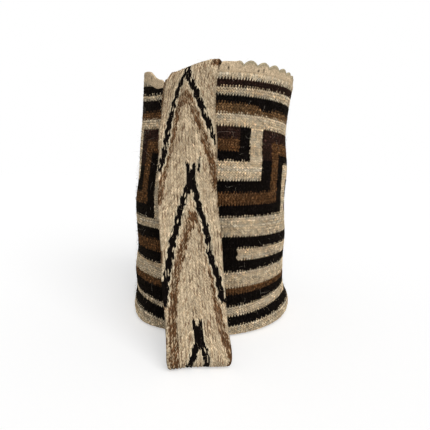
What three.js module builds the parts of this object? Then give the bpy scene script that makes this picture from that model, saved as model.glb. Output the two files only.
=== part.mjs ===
// A crocheted wool mochila: a tall round shoulder bag that stands on its base, with its woven strap
// thrown forward over the mouth and down the front. Millimetres, +Z up, the floor at z = 0 and the
// middle of the round base at the origin. The strap ends are sewn inside the mouth at -Y and +Y.
import * as THREE from "three";

// Bag wall: outer radius at each named height, and what the crochet measures
const WALL = 4;
const BASE_THICKNESS = 4.5;
const BASE_FLAT_RADIUS = 90;
const TURN_RADIUS = 97.5;
const TURN_HEIGHT = 5;
const BULGE_RADIUS = 100;
const BULGE_HEIGHT = 19;
const WAIST_RADIUS = 95;
const WAIST_HEIGHT = 48;
const BELLY_RADIUS = 94;
const BELLY_HEIGHT = 105;
const CHEST_RADIUS = 94;
const CHEST_HEIGHT = 158;
const SHOULDER_RADIUS = 90;
const SHOULDER_HEIGHT = 225;
const NECK_RADIUS = 89.5;
const NECK_HEIGHT = 262;
const MOUTH_RADIUS = 91;
const MOUTH_HEIGHT = 280;
const ROUND_PITCH = 10.4;
const ROUND_GROOVE = 0.8;
const WALL_SEGMENTS = 36;
const INNER_RINGS = 8;
const BASE_RINGS = 3;

// Shell edging worked round the mouth: a low band that rises in a scallop at each loop
const EDGING_THICKNESS = 2.8;
const EDGING_BAND = 3.2;
const EDGING_LOOPS = 36;
const EDGING_LOOP_RISE = 4.6;
const EDGING_LOOP_LEAN = 1.2;
const EDGING_ROUNDNESS = 0.7;
const EDGING_SMOOTH_SHARE = 0.6;
const EDGING_PRESSED_BAND = 1.4;
const STEPS_PER_LOOP = 4;
const EDGING_SIDES = 6;
const SMOOTH_EDGING_DEG = [-76, -66, 24, 33];
const PRESSED_EDGING_DEG = [-34, -29, 17, 21];

// Strap: the band, and how much of each end is sewn inside the mouth
const STRAP_WIDTH = 59.5;
const STRAP_THICKNESS = 3.6;
const STRAP_RIBS = 5;
const STRAP_RIB_GROOVE = 0.6;
const STRAP_SEWN = 34;

// Where the strap lies: over the front rim, down to a fold on the floor, back up and over the mouth
const FOOT_REACH = 154;
const FOOT_FOLD_RADIUS = 7.5;
const FOOT_SLANT_DEG = 24;
const FOOT_TEARDROP_DEG = 5;
const HANG_EASE = 90;
const FOOT_EASE = 90;
const UNDER_FOOT_EASE = 110;
const BACK_BEND_RADIUS = 16;
const CROSSING_EASE = 55;
const CROSSING_SAG_DEG = 12;
const STRAP_STEPS = { arch: 8, hang: 12, fold: 8, halfArch: 5, crossing: 10, backBend: 6 };

// How the strap strays sideways: [height, offset] pairs at the front, fading out across the mouth.
// It turns as it hangs, and lies curled round the wall only far from the axis and high up.
const SWAY = [
  [3, -1], [21, 3.2], [48, 6], [81, 5.5], [130, 3.4], [177, -0.8], [207, -3.6], [256, -8], [290, -9],
];
const SWAY_FADES_AT = [-60, 40];
const SWING_DEG = 29;
const SWING_GROWTH = 1.15;
const CURL_FROM_AXIS = [40, 78];
const CURL_HEIGHTS = [130, 225];

// Seam yarn that sews each strap end to the wall, in slanting whip stitches
const SEAM_YARN_RADIUS = 0.8;
const SEAM_STITCHES = 7;
const SEAM_BITE = 3.5;
const SEAM_SIDES = 5;
const STEPS_PER_STITCH = 15;

// Clearances
const TOUCH = 0.5;
const STRAP_CLEAR = 1;
const ARCH_CLEAR = 1.4;
const FLOOR_CLEAR = 0.2;

// How the soft bag has slumped: [height, offset] pairs of its lean, and a dip in the rim at the strap
// between two spans of x, with a peak beside it
const LEAN_AZIMUTH_DEG = 14;
const LEAN = [[0, 0], [20, -1], [70, -3.6], [120, -2], [150, -2.6], [190, 0], [235, 1.8], [262, 4], [286, 7]];
const DIP_DEPTH = 12;
const DIP_LEFT = [-77, -47];
const DIP_RIGHT = [-38, 24];
const DIP_FRONT = [-62, 20];
const SLUMP_FROM_HEIGHT = 150;
const PEAK_RISE = 7;
const PEAK_AT = [-80, -46];
const PEAK_SPREAD = 22;
const MOUTH_DRAW_IN = 3;

const radians = THREE.MathUtils.degToRad;
const smooth = (x, from, to) => THREE.MathUtils.smoothstep(x, from, to);

// A smooth curve through [x, value] pairs, read at x
function through(table, x) {
  const last = table.length - 1;
  if (x <= table[0][0]) return table[0][1];
  if (x >= table[last][0]) return table[last][1];
  const i = table.findIndex((pair) => pair[0] > x) - 1;
  const slope = (k) => {
    const before = table[Math.max(k - 1, 0)];
    const after = table[Math.min(k + 1, last)];
    return (after[1] - before[1]) / (after[0] - before[0]);
  };
  const span = table[i + 1][0] - table[i][0];
  const t = (x - table[i][0]) / span;
  const ends = table[i][1] * (2 * t ** 3 - 3 * t ** 2 + 1) + table[i + 1][1] * (3 * t ** 2 - 2 * t ** 3);
  const slopes = slope(i) * (t ** 3 - 2 * t ** 2 + t) + slope(i + 1) * (t ** 3 - t ** 2);
  return ends + span * slopes;
}

// Moves a point of the true round bag to where the slumped cloth lies
function slump(point) {
  const high = smooth(point.z, SLUMP_FROM_HEIGHT, MOUTH_HEIGHT);
  const across = smooth(point.x, ...DIP_LEFT) * (1 - smooth(point.x, ...DIP_RIGHT));
  const front = 1 - smooth(point.y, ...DIP_FRONT);
  const fromPeak = Math.hypot(point.x - PEAK_AT[0], point.y - PEAK_AT[1]);
  const peak = PEAK_RISE * Math.exp(-((fromPeak / PEAK_SPREAD) ** 2));
  const lean = through(LEAN, point.z);
  const azimuth = radians(LEAN_AZIMUTH_DEG);
  point.z += high * (peak - DIP_DEPTH * across * front);
  point.y *= 1 - (high * MOUTH_DRAW_IN) / MOUTH_RADIUS;
  point.x += lean * Math.cos(azimuth);
  point.y += lean * Math.sin(azimuth);
  return point;
}

// Moves every vertex of a geometry with a function of its place
function reshape(geometry, move) {
  const places = geometry.getAttribute("position");
  const point = new THREE.Vector3();
  for (let i = 0; i < places.count; i++) {
    point.fromBufferAttribute(places, i);
    move(point);
    places.setXYZ(i, point.x, point.y, point.z);
  }
  geometry.computeVertexNormals();
  return geometry;
}

// Outer radius of the bag against height, as one curve from the base's flat to the mouth
const outerProfile = new THREE.SplineCurve([
  new THREE.Vector2(BASE_FLAT_RADIUS, 0),
  new THREE.Vector2(TURN_RADIUS, TURN_HEIGHT),
  new THREE.Vector2(BULGE_RADIUS, BULGE_HEIGHT),
  new THREE.Vector2(WAIST_RADIUS, WAIST_HEIGHT),
  new THREE.Vector2(BELLY_RADIUS, BELLY_HEIGHT),
  new THREE.Vector2(CHEST_RADIUS, CHEST_HEIGHT),
  new THREE.Vector2(SHOULDER_RADIUS, SHOULDER_HEIGHT),
  new THREE.Vector2(NECK_RADIUS, NECK_HEIGHT),
  new THREE.Vector2(MOUTH_RADIUS, MOUTH_HEIGHT),
]);

// The top of the cloth at the mouth, where the edging rests
const ringRadius = MOUTH_RADIUS - WALL / 2;
const rimTop = MOUTH_HEIGHT + WALL / 2;

// The point of the wall at a share of the profile's length, a depth inside its outer face
function wallPoint(share, depth) {
  const place = outerProfile.getPointAt(share);
  const along = outerProfile.getTangentAt(share);
  return new THREE.Vector2(place.x - along.y * depth, place.y + along.x * depth);
}

// Bag body: wall and base, crocheted in one piece, with the rounds of crochet as ridges
function bagBody() {
  const rounds = Math.round(outerProfile.getLength() / ROUND_PITCH);
  const profile = [];
  for (let i = 0; i < BASE_RINGS; i++) profile.push(new THREE.Vector2((BASE_FLAT_RADIUS * i) / BASE_RINGS, 0));
  for (let i = 0; i < 2 * rounds; i++) {
    profile.push(wallPoint(i / (2 * rounds), i % 2 || i === 0 ? 0 : ROUND_GROOVE));
  }
  profile.push(wallPoint(1, 0), new THREE.Vector2(ringRadius, rimTop), wallPoint(1, WALL));
  for (let i = 1; i <= INNER_RINGS; i++) {
    const inner = wallPoint(1 - i / (INNER_RINGS + 0.5), WALL);
    inner.y = Math.max(inner.y, BASE_THICKNESS);
    profile.push(inner);
  }
  for (let i = BASE_RINGS; i >= 0; i--) {
    profile.push(new THREE.Vector2(((BASE_FLAT_RADIUS - WALL) * i) / BASE_RINGS, BASE_THICKNESS));
  }
  const turned = new THREE.LatheGeometry(profile, WALL_SEGMENTS).rotateX(Math.PI / 2);
  return reshape(turned, slump);
}

// Moves a point over the rim as the nearest facet of the wall has moved
function settleOnRim(point) {
  const facet = (2 * Math.PI) / WALL_SEGMENTS;
  const turn = Math.atan2(point.x, -point.y) / facet;
  const from = Math.floor(turn);
  const moved = (corner) => {
    const angle = corner * facet;
    const place = new THREE.Vector3(ringRadius * Math.sin(angle), -ringRadius * Math.cos(angle), MOUTH_HEIGHT);
    return slump(place.clone()).sub(place);
  };
  return point.add(moved(from).lerp(moved(from + 1), turn - from));
}

// How far into a zone of the mouth, given as [from, full, still full, to] in degrees
function inZone(degrees, zone) {
  return smooth(degrees, zone[0], zone[1]) * (1 - smooth(degrees, zone[2], zone[3]));
}

// Shell edging: scallops round the mouth, drawn smooth beside the strap and pressed flat under it
function rimEdging() {
  const tubeRadius = EDGING_THICKNESS / 2;
  const flat = tubeRadius * Math.sin((2 * Math.PI) / EDGING_SIDES);
  const ring = new THREE.TorusGeometry(ringRadius, tubeRadius, EDGING_SIDES, EDGING_LOOPS * STEPS_PER_LOOP);
  return reshape(ring, (point) => {
    const angle = Math.atan2(point.x, -point.y);
    const degrees = THREE.MathUtils.radToDeg(angle);
    const pressed = inZone(degrees, PRESSED_EDGING_DEG);
    const scallop = Math.abs(Math.sin((EDGING_LOOPS * angle) / 2)) ** EDGING_ROUNDNESS;
    const smoothed = inZone(degrees, SMOOTH_EDGING_DEG);
    const rise = THREE.MathUtils.lerp(scallop, EDGING_SMOOTH_SHARE, smoothed) * (1 - pressed);
    const band = THREE.MathUtils.lerp(EDGING_BAND, EDGING_PRESSED_BAND, pressed);
    const share = (point.z / flat + 1) / 2;
    point.z = rimTop + TOUCH + share * (band + EDGING_LOOP_RISE * rise);
    point.x += Math.sin(angle) * EDGING_LOOP_LEAN * rise * share;
    point.y -= Math.cos(angle) * EDGING_LOOP_LEAN * rise * share;
    settleOnRim(point);
  });
}

// Where the strap's middle surface lies, in the plane x = 0
const STRAP_END_HEIGHT = MOUTH_HEIGHT - STRAP_SEWN - STRAP_THICKNESS;
const strapInside = NECK_RADIUS - WALL - STRAP_CLEAR - STRAP_THICKNESS / 2;
const strapOutside = MOUTH_RADIUS + STRAP_CLEAR + STRAP_THICKNESS / 2;
const archMiddle = -(strapInside + strapOutside) / 2;
const archHalfWidth = (strapOutside - strapInside) / 2;
const archRise = WALL / 2 + TOUCH + EDGING_PRESSED_BAND + ARCH_CLEAR + STRAP_THICKNESS / 2;
const layerStep = STRAP_THICKNESS + 2 * TOUCH;

// Plane curves as lists of (y, z) points
const at = (y, z) => new THREE.Vector2(y, z);
const towards = (angle) => at(Math.sin(angle), -Math.cos(angle));
const bend = (a, b, c, d, steps) => new THREE.CubicBezierCurve(a, b, c, d).getPoints(steps);
const turnRound = (middle, width, height, from, to, steps) =>
  new THREE.EllipseCurve(middle.x, middle.y, width, height, from, to, from > to).getPoints(steps);

// The fold at the foot, a teardrop that leans with the layers and rests on the floor
function footFold() {
  const slant = radians(FOOT_SLANT_DEG);
  const teardrop = radians(FOOT_TEARDROP_DEG);
  const middle = at(-FOOT_REACH, FOOT_FOLD_RADIUS + STRAP_THICKNESS / 2 + FLOOR_CLEAR);
  const from = teardrop - slant;
  const to = -Math.PI - slant - teardrop;
  const points = turnRound(middle, FOOT_FOLD_RADIUS, FOOT_FOLD_RADIUS, from, to, STRAP_STEPS.fold);
  return { points, enter: towards(from), leave: towards(to) };
}

// The whole path, from the sewn front end to the sewn back end
function strapPath() {
  const mouth = at(archMiddle, MOUTH_HEIGHT);
  const underArch = turnRound(mouth, archHalfWidth, archRise, 0, Math.PI, STRAP_STEPS.arch);
  const overArch = turnRound(mouth, archHalfWidth + layerStep, archRise + layerStep, Math.PI, Math.PI / 2,
    STRAP_STEPS.halfArch);
  const fold = footFold();
  const [underTop, overTop] = [underArch.at(-1), overArch[0]];
  const [foldStart, foldEnd] = [fold.points[0], fold.points.at(-1)];
  const underLayer = bend(underTop, at(underTop.x, underTop.y - HANG_EASE),
    foldStart.clone().addScaledVector(fold.enter, -UNDER_FOOT_EASE), foldStart, STRAP_STEPS.hang);
  const overLayer = bend(foldEnd, foldEnd.clone().addScaledVector(fold.leave, FOOT_EASE),
    at(overTop.x, overTop.y - HANG_EASE), overTop, STRAP_STEPS.hang);

  const sag = radians(CROSSING_SAG_DEG);
  const bendMiddle = at(strapInside - BACK_BEND_RADIUS, MOUTH_HEIGHT - BACK_BEND_RADIUS);
  const backBend = turnRound(bendMiddle, BACK_BEND_RADIUS, BACK_BEND_RADIUS, Math.PI / 2 + sag, 0,
    STRAP_STEPS.backBend);
  const apex = overArch.at(-1);
  const crossing = bend(apex, at(apex.x + CROSSING_EASE, apex.y),
    backBend[0].clone().sub(at(Math.cos(sag), Math.sin(sag)).multiplyScalar(CROSSING_EASE)), backBend[0],
    STRAP_STEPS.crossing);

  const frontEnd = at(-strapInside, STRAP_END_HEIGHT);
  const backEnd = at(strapInside, STRAP_END_HEIGHT);
  const between = (a, b) => a.clone().lerp(b, 0.5);
  return [
    [frontEnd, between(frontEnd, underArch[0])],
    underArch,
    underLayer.slice(1),
    fold.points.slice(1),
    overLayer.slice(1),
    overArch.slice(1),
    crossing.slice(1),
    backBend.slice(1),
    [between(backBend.at(-1), backEnd), backEnd],
  ].flat();
}

// How far the strap strays sideways where its path is at (y, z)
const strapSway = (y, z) => through(SWAY, z) * (1 - smooth(y, ...SWAY_FADES_AT));

// Lays a point of the strap round the wall near the mouth; lower down the strap hangs flat
function curlRound(point) {
  const far = Math.abs(point.y);
  const near = smooth(far, ...CURL_FROM_AXIS) * smooth(point.z, ...CURL_HEIGHTS);
  const round = Math.sqrt(Math.max(far * far - point.x * point.x, 0));
  point.y += Math.sign(point.y) * (round - far) * near;
}

// Turns a point of the hanging part about the upright line where the strap leaves the mouth
function swingOut(point, pivotX) {
  const drop = Math.max(1 - point.z / MOUTH_HEIGHT, 0);
  const turn = radians(SWING_DEG) * drop ** SWING_GROWTH;
  const x = point.x - pivotX;
  const y = point.y + MOUTH_RADIUS;
  point.x = pivotX + x * Math.cos(turn) - y * Math.sin(turn);
  point.y = -MOUTH_RADIUS + y * Math.cos(turn) + x * Math.sin(turn);
}

// Strap: one flat woven band with ribs, swept along its path
function strap() {
  const path = strapPath();
  const runs = path.length - 1;
  const acrossSteps = 2 * STRAP_RIBS;
  const band = new THREE.BoxGeometry(STRAP_WIDTH, STRAP_THICKNESS, runs, acrossSteps, 1, runs);
  const tangent = new THREE.Vector2();
  return reshape(band, (point) => {
    const i = Math.round(point.z + runs / 2);
    const rib = Math.round((point.x / STRAP_WIDTH + 0.5) * acrossSteps);
    const groove = rib % 2 ? 0 : STRAP_RIB_GROOVE;
    const out = Math.sign(point.y) * (STRAP_THICKNESS / 2 - groove);
    tangent.subVectors(path[Math.min(i + 1, runs)], path[Math.max(i - 1, 0)]).normalize();
    point.y = path[i].x + out * tangent.y;
    point.z = path[i].y - out * tangent.x;
    const sway = strapSway(path[i].x, path[i].y);
    point.x += sway;
    curlRound(point);
    if (path[i].x < -MOUTH_RADIUS) swingOut(point, sway);
    slump(point);
  });
}

// The turns of one whip stitch, as shares: [along it, from the wall to the strap's face, up it]
const WHIP_STITCH = [
  [0, 0, 0], [0.13, 0.06, 0], [0.22, 0.2, 0], [0.25, 0.45, 0], [0.25, 0.75, 0.03], [0.25, 0.95, 0.14],
  [0.25, 1, 0.4], [0.25, 1, 0.68], [0.3, 1, 0.86], [0.39, 1, 0.97], [0.5, 1, 1], [0.61, 1, 0.97],
  [0.7, 1, 0.86], [0.75, 1, 0.68], [0.75, 1, 0.4], [0.75, 0.95, 0.14], [0.75, 0.75, 0.03],
  [0.75, 0.45, 0], [0.78, 0.2, 0], [0.87, 0.06, 0],
];

// Seam: whip stitches over the strap's sewn end, from the strap's face down to the wall
function strapSeam(side) {
  const strapFace = strapInside - STRAP_THICKNESS / 2 - TOUCH - SEAM_YARN_RADIUS;
  const wallFace = NECK_RADIUS - WALL - STRAP_CLEAR - SEAM_YARN_RADIUS;
  const lowest = STRAP_END_HEIGHT - TOUCH - 3 * SEAM_YARN_RADIUS;
  const highest = STRAP_END_HEIGHT + SEAM_BITE;
  const span = STRAP_WIDTH - 4 * SEAM_YARN_RADIUS;
  const pitch = span / SEAM_STITCHES;
  const sway = strapSway(side * strapInside, STRAP_END_HEIGHT);
  const points = [];
  for (let i = 0; i < SEAM_STITCHES; i++) {
    for (const [along, outwards, upwards] of WHIP_STITCH) {
      const x = sway - span / 2 + pitch * (i + along);
      const radius = wallFace + (strapFace - wallFace) * outwards;
      const z = lowest + (highest - lowest) * upwards;
      points.push(new THREE.Vector3(x, side * Math.sqrt(radius * radius - x * x), z));
    }
  }
  const corners = [];
  for (let i = 0; i < SEAM_SIDES; i++) {
    const turn = (2 * Math.PI * i) / SEAM_SIDES;
    corners.push(at(SEAM_YARN_RADIUS * Math.cos(turn), SEAM_YARN_RADIUS * Math.sin(turn)));
  }
  const yarn = new THREE.ExtrudeGeometry(new THREE.Shape(corners), {
    steps: SEAM_STITCHES * STEPS_PER_STITCH,
    extrudePath: new THREE.CatmullRomCurve3(points),
  });
  return reshape(yarn, slump);
}

function wool(colour, roughness) {
  return new THREE.MeshStandardMaterial({ color: colour, roughness, metalness: 0 });
}

function piece(name, geometry, material) {
  const mesh = new THREE.Mesh(geometry, material);
  mesh.name = name;
  return mesh;
}

const mochila = new THREE.Group();
mochila.add(piece("bag_body", bagBody(), wool(0xc3b08e, 0.95)));
mochila.add(piece("rim_edging", rimEdging(), wool(0xcdbc98, 0.95)));
mochila.add(piece("strap", strap(), wool(0xcbb694, 0.92)));
mochila.add(piece("strap_seam_front", strapSeam(-1), wool(0xb7a482, 0.95)));
mochila.add(piece("strap_seam_back", strapSeam(1), wool(0xb7a482, 0.95)));

export default mochila;
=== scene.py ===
# %% [markdown]
# A crocheted wool shoulder bag, rebuilt for looks. Every soft solid in it is replaced here by a piece
# with real stitches, so the solids only say where each thing is.

# %% The frame, and the CAD parts brought in from model.glb
import math

import bmesh
import bpy
import numpy as np
from mathutils import Euler, Matrix, Vector


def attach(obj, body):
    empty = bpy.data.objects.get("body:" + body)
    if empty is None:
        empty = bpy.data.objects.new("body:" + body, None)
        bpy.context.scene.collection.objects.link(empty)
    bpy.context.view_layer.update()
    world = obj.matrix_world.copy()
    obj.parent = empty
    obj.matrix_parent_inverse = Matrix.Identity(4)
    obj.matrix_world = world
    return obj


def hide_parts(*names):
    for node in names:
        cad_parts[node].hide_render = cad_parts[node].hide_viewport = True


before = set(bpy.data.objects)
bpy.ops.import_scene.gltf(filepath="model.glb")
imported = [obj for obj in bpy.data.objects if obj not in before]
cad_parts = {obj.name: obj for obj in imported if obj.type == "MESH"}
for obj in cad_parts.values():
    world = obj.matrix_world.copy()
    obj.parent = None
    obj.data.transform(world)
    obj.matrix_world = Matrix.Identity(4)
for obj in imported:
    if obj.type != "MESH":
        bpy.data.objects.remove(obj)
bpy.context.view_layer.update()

# %% [markdown]
# The camera comes first, because everything after it is judged through it. It was solved from the
# outline of the real bag: about half a metre away, a little above the middle of the bag, looking
# slightly down.

# %% The camera
MM = 0.001
VIEW_TURN = math.radians(14)
CAMERA_AT = Vector((114.6, -445.5, 189.2)) * MM
CAMERA_PITCH = math.radians(8.33)
CAMERA_ROLL = math.radians(-0.74)
SENSOR_MM = 36
LENS_MM = 29.65
NEAREST_SEEN = 0.01


def show(name, data):
    """A new object with this data, linked to the scene so that it is seen."""
    thing = bpy.data.objects.new(name, data)
    bpy.context.scene.collection.objects.link(thing)
    return thing


camera_data = bpy.data.cameras.new("camera")
camera_data.sensor_width = SENSOR_MM
camera_data.lens = LENS_MM
camera_data.clip_start = NEAREST_SEEN
camera = show("camera", camera_data)
bpy.context.scene.camera = camera
aim = Euler((math.pi / 2 - CAMERA_PITCH, CAMERA_ROLL, VIEW_TURN))
camera.matrix_world = Matrix.LocRotScale(CAMERA_AT, aim, None)
print("camera", tuple(round(x, 3) for x in camera.location), "lens", LENS_MM)

# %% [markdown]
# The driving dimensions, in millimetres, are the CAD part's. Such a bag is crocheted in a spiral from
# the middle of its base, so its body is a round wall whose radius changes with height. It is soft, so
# the wall leans, and the mouth dips where the strap weighs on it.

# %% Driving dimensions
WALL = 4.0
MOUTH_RADIUS = 91.0
MOUTH_HEIGHT = 280.0
NECK_RADIUS = 89.5
PROFILE = [(90, 0), (97.5, 5), (100, 19), (95, 48), (94, 105), (94, 158), (90, 225), (89.5, 262), (91, 280)]
LEAN_AZIMUTH = math.radians(14)
LEAN = [(0, 0), (20, -1), (70, -3.6), (120, -2), (150, -2.6), (190, 0), (235, 1.8), (262, 4), (286, 7)]
DIP_DEPTH = 12
DIP_ACROSS = (-77, -47, -38, 24)
DIP_FRONT = (-62, 20)
SLUMP_FROM_HEIGHT = 150
PEAK_RISE = 7
PEAK_AT = (-80, -46)
PEAK_SPREAD = 22
MOUTH_DRAW_IN = 3
print("the mouth is", 2 * MOUTH_RADIUS, "mm wide, at", MOUTH_HEIGHT, "mm")

# %% [markdown]
# A few helpers turn those numbers into shapes. The first four blend between values. The slump moves a
# point of the upright bag to where the sagging bag has it. A line is a drawn curve read by its length,
# the way yarn is measured along a piece of work.

# %% Curves and the slump
def smooth(x, low, high):
    """0 below low, 1 above high, and an easy curve between."""
    t = np.clip((np.asarray(x, float) - low) / (high - low), 0, 1)
    return t * t * (3 - 2 * t)


def within(x, zone):
    """1 between the middle two values of a zone, fading to 0 at its outer two."""
    return smooth(x, *zone[:2]) * (1 - smooth(x, *zone[2:]))


def bell(away, spread):
    """1 where away is 0, and close to 0 from twice the spread on."""
    return np.exp(-((away / spread) ** 2))


def through(table, x):
    """A smooth curve through the (x, y) pairs of a table."""
    xs, ys = np.array(table, float).T
    after = np.minimum(np.arange(len(xs)) + 1, len(xs) - 1)
    before = np.maximum(np.arange(len(xs)) - 1, 0)
    slope = (ys[after] - ys[before]) / (xs[after] - xs[before])
    x = np.clip(x, xs[0], xs[-1])
    i = np.clip(np.searchsorted(xs, x, side="right") - 1, 0, len(xs) - 2)
    span = xs[i + 1] - xs[i]
    t = (x - xs[i]) / span
    ends = ys[i] * (2 * t**3 - 3 * t**2 + 1) + ys[i + 1] * (3 * t**2 - 2 * t**3)
    return ends + span * (slope[i] * (t**3 - 2 * t**2 + t) + slope[i + 1] * (t**3 - t**2))


def slump(x, y, z):
    """Moves points of the upright bag to where the slumped bag has them."""
    high = smooth(z, SLUMP_FROM_HEIGHT, MOUTH_HEIGHT)
    across = within(x, DIP_ACROSS) * (1 - smooth(y, *DIP_FRONT))
    peak = PEAK_RISE * bell(np.hypot(x - PEAK_AT[0], y - PEAK_AT[1]), PEAK_SPREAD)
    lean = through(LEAN, z)
    drawn = y * (1 - high * MOUTH_DRAW_IN / MOUTH_RADIUS)
    up = z + high * (peak - DIP_DEPTH * across)
    return x + lean * math.cos(LEAN_AZIMUTH), drawn + lean * math.sin(LEAN_AZIMUTH), up


def spline_points(corners, steps=40):
    """Points of the smooth curve through the corners."""
    p = np.array(corners, float)
    t = np.linspace(0, 1, steps, endpoint=False)[:, None]
    runs = []
    for i in range(len(p) - 1):
        a, b, c, d = p[max(i - 1, 0)], p[i], p[i + 1], p[min(i + 2, len(p) - 1)]
        v, w = (c - a) / 2, (d - b) / 2
        runs.append((2 * b - 2 * c + v + w) * t**3 + (3 * c - 3 * b - 2 * v - w) * t**2 + v * t + b)
    return np.vstack(runs + [p[-1:]])


class Line:
    """A curve in a plane, read by its length: its points, and the direction along it."""

    def __init__(self, points):
        self.points = points
        self.at = np.concatenate([[0], np.cumsum(np.hypot(*np.diff(points, axis=0).T))])
        self.length = self.at[-1]
        along = np.gradient(points, self.at, axis=0)
        self.along = along / np.hypot(*along.T)[:, None]

    def read(self, s):
        """The two coordinates at s mm along the curve, and the direction there."""
        a, b = (np.interp(s, self.at, self.points[:, i]) for i in (0, 1))
        da, db = (np.interp(s, self.at, self.along[:, i]) for i in (0, 1))
        return a, b, da, db


wall_line = Line(spline_points(PROFILE))
print("wall measures", round(wall_line.length, 1), "mm from base to mouth")

# %% [markdown]
# Every stitched surface starts as one flat grid, with a few grid squares for each stitch. One function
# says where each grid point goes, and another paints each face, which keeps the edges between yarns
# crisp. Where two sides of the grid meet they are merged, so the seam closes.

# %% Grids that become stitched pieces
SHARP_ANGLE = math.radians(78)
MERGE_DISTANCE = 1e-7


def add_piece(name, mesh):
    """An object that shows a finished mesh, shaded smooth."""
    mesh.polygons.foreach_set("use_smooth", np.ones(len(mesh.polygons), bool))
    print(name, len(mesh.polygons), "faces")
    return show(name, mesh)


def close_up(bm):
    """Merges what meets, closes open ends and turns every face outwards."""
    bmesh.ops.remove_doubles(bm, verts=bm.verts, dist=MERGE_DISTANCE)
    bmesh.ops.holes_fill(bm, edges=[e for e in bm.edges if e.is_boundary])
    bmesh.ops.recalc_face_normals(bm, faces=bm.faces)


def stitched(name, columns, rows, place, paint):
    """A piece from a grid. place(column, row) gives x, y, z in mm and a height from 0, groove, to 1,
    crest. paint(column, row) gives each face its linear colour."""
    mesh = bpy.data.meshes.new(name)
    bm = bmesh.new()
    bmesh.ops.create_grid(bm, x_segments=columns, y_segments=rows, size=1)
    bm.to_mesh(mesh)
    flat = np.empty(3 * len(mesh.vertices))
    mesh.vertices.foreach_get("co", flat)
    column = np.rint((flat[0::3] + 1) / 2 * columns).astype(int)
    row = np.rint((flat[1::3] + 1) / 2 * rows).astype(int)
    x, y, z, height = place(column, row)
    mesh.vertices.foreach_set("co", (np.stack([x, y, z], 1) * MM).ravel())
    mesh.attributes.new("height", "FLOAT", "POINT").data.foreach_set("value", height)

    corners = np.empty(4 * len(mesh.polygons), int)
    mesh.polygons.foreach_get("vertices", corners)
    corners = corners.reshape(-1, 4)
    colour = paint(column[corners].min(1), row[corners].min(1))
    colour = np.hstack([colour, np.ones((len(colour), 1))]).repeat(4, axis=0)
    mesh.color_attributes.new("yarn", "FLOAT_COLOR", "CORNER").data.foreach_set("color", colour.ravel())
    bm.clear()
    bm.from_mesh(mesh)
    close_up(bm)
    bm.to_mesh(mesh)
    bm.free()
    piece = add_piece(name, mesh)
    mesh.set_sharp_from_angle(angle=SHARP_ANGLE)
    return piece


def linear(code):
    """An sRGB hex colour as linear red, green and blue, by the formula of the sRGB standard."""
    s = np.array([int(code[i : i + 2], 16) for i in (1, 3, 5)]) / 255
    return np.where(s <= 0.04045, s / 12.92, ((s + 0.055) / 1.055) ** 2.4)


# %% [markdown]
# The wool is undyed, so its colours are those of the sheep: cream, two browns and two near blacks. No
# two lengths of hand-spun yarn are alike, so each face gets its own step in brightness, largest in the
# dark yarns, where a few pale fibres show most.

# %% Yarns
YARNS = {
    "cream": "#E3CDAB",
    "espresso": "#301F1A",
    "black": "#0C0909",
    "brown": "#62442A",
    "walnut": "#6E5236",
}
YARN_COLOURS = np.array([linear(code) for code in YARNS.values()])
FLEECE_SPREAD = np.array([0.24, 0.5, 0.75, 0.55, 0.55])
CREAM, ESPRESSO, BLACK, BROWN, WALNUT = range(5)
chance = np.random.default_rng(7)


def shades(spread, shape):
    """Random factors of brightness round 1, which differ more the larger the spread is."""
    return np.exp(chance.normal(0, spread, shape))


def spun(colours, spreads, yarn):
    """A colour for each grid face: its yarn's, with the mix of fleeces that was spun into it."""
    return colours[yarn] * shades(spreads[yarn], yarn.shape)[:, None]


print("yarns", YARNS)

# %% [markdown]
# The pattern on the wall is crocheted in from a chart. Plain bands run round near the base and the
# mouth. Between them three bars, dark, brown and dark, run along, turn up and run on, as a stepped fret,
# and below it two dark rails hold pale and brown fields. Rounds are counted from the base, stitches from
# the front. Handwork isn't even: bands and rails stray by a round or two, most of all beside and behind
# the strap.

# %% The chart of the wall
STITCHES = 180
ROUNDS = 110
ROUND_HEIGHT = wall_line.length / ROUNDS
BANDS = [
    (7, 11, BLACK), (15, 20, BLACK), (20, 23, BROWN),
    (95, 99, WALNUT), (99, 102, BLACK), (105, 108, ESPRESSO),
]
FRETS = [-51, 0, 43, 86]
STEM = [25, 30, 34, 38]
LOW_BAR = [53, 58, 63, 68]
HIGH_BAR = [76, 80, 85, 90]
STEM_YARN_CHANGE = 77
FIRST_FRET_LIFT = -1
FIRST_CHANGE_LIFT = -3
BAR_GAP = 5
BAR_CAP = 4
RAILS = [30, 35, 40, 45]
RAIL_CAPS = [11, 57, 96, 126]
RAIL_CAP_WIDTH = 6
FIELD_YARNS = [CREAM, BROWN, CREAM, BROWN]
LIFTED_STITCHES = (-48, -2)
LIFTED_BY = 2
STRAYS = [
    (20, 24, -62, -52, BROWN), (14, 21, -52, -2, BLACK), (21, 25, -52, -2, BROWN), (11, 12, -50, -2, BLACK),
    (51, 52, -51, -13, BLACK), (98, 99, 22, 50, BLACK), (97, 98, 24, 29, BLACK),
    (97, 102, *LIFTED_STITCHES, BLACK), (104, 108, *LIFTED_STITCHES, BLACK),
    (94, 97, *LIFTED_STITCHES, BROWN),
]

chart = np.full((ROUNDS, STITCHES), CREAM)


def fill(low, high, first, last, yarn):
    """Fills rounds low to high and stitches first to last of the chart."""
    columns = np.arange(first, last) % STITCHES
    chart[low:high, columns] = yarn


for low, high, yarn in BANDS:
    fill(low, high, 0, STITCHES, yarn)

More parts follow.
